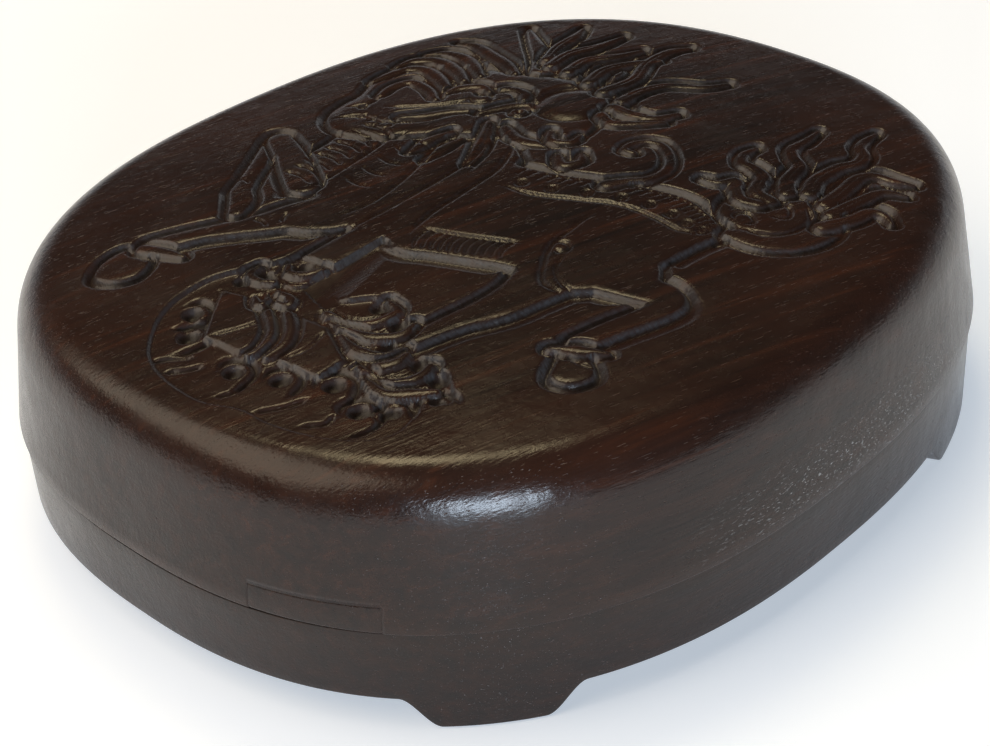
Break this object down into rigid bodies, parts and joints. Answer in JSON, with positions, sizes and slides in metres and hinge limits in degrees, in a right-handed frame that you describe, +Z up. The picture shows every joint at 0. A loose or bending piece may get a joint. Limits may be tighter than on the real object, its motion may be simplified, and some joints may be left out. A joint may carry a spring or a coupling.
{
  "type": "lidded inkstone box",
  "caption": "Oval carved hardwood box on bracket feet, with a lift-off domed lid and the oval inkstone that it holds.",
  "frame": {"origin": "on the resting surface under the middle of the box, level with the undersides of the feet", "axes": "+Z up; +X along the long axis of the oval, toward the top of the carved picture; +Y across the box"},
  "size_m": [0.1598, 0.1386, 0.043],
  "materials": {
    "box_wood": "waxed dark reddish-brown hardwood with fine open pores, satin sheen",
    "repair_wood": "waxed dark brown hardwood, slightly duller than the lid around it",
    "ink_slate": "fine-grained dark grey stone, honed"
  },
  "bodies": {
    "base": {"base": "box_wood"},
    "lid": {"lid": "box_wood", "lid_rim_repair": "repair_wood"},
    "inkstone": {"inkstone": "ink_slate"}
  },
  "joints": [
    {"name": "lid_lift", "type": "slide", "parent": "base", "child": "lid", "axis": [0, 0, 1], "range_m": [0, 0.06]},
    {"name": "stone_lift", "type": "slide", "parent": "base", "child": "inkstone", "axis": [0, 0, 1], "range_m": [0, 0.025]}
  ],
  "couplings": [
    {"joint": "stone_lift", "follows": "lid_lift", "ratio": 0.4}
  ]
}
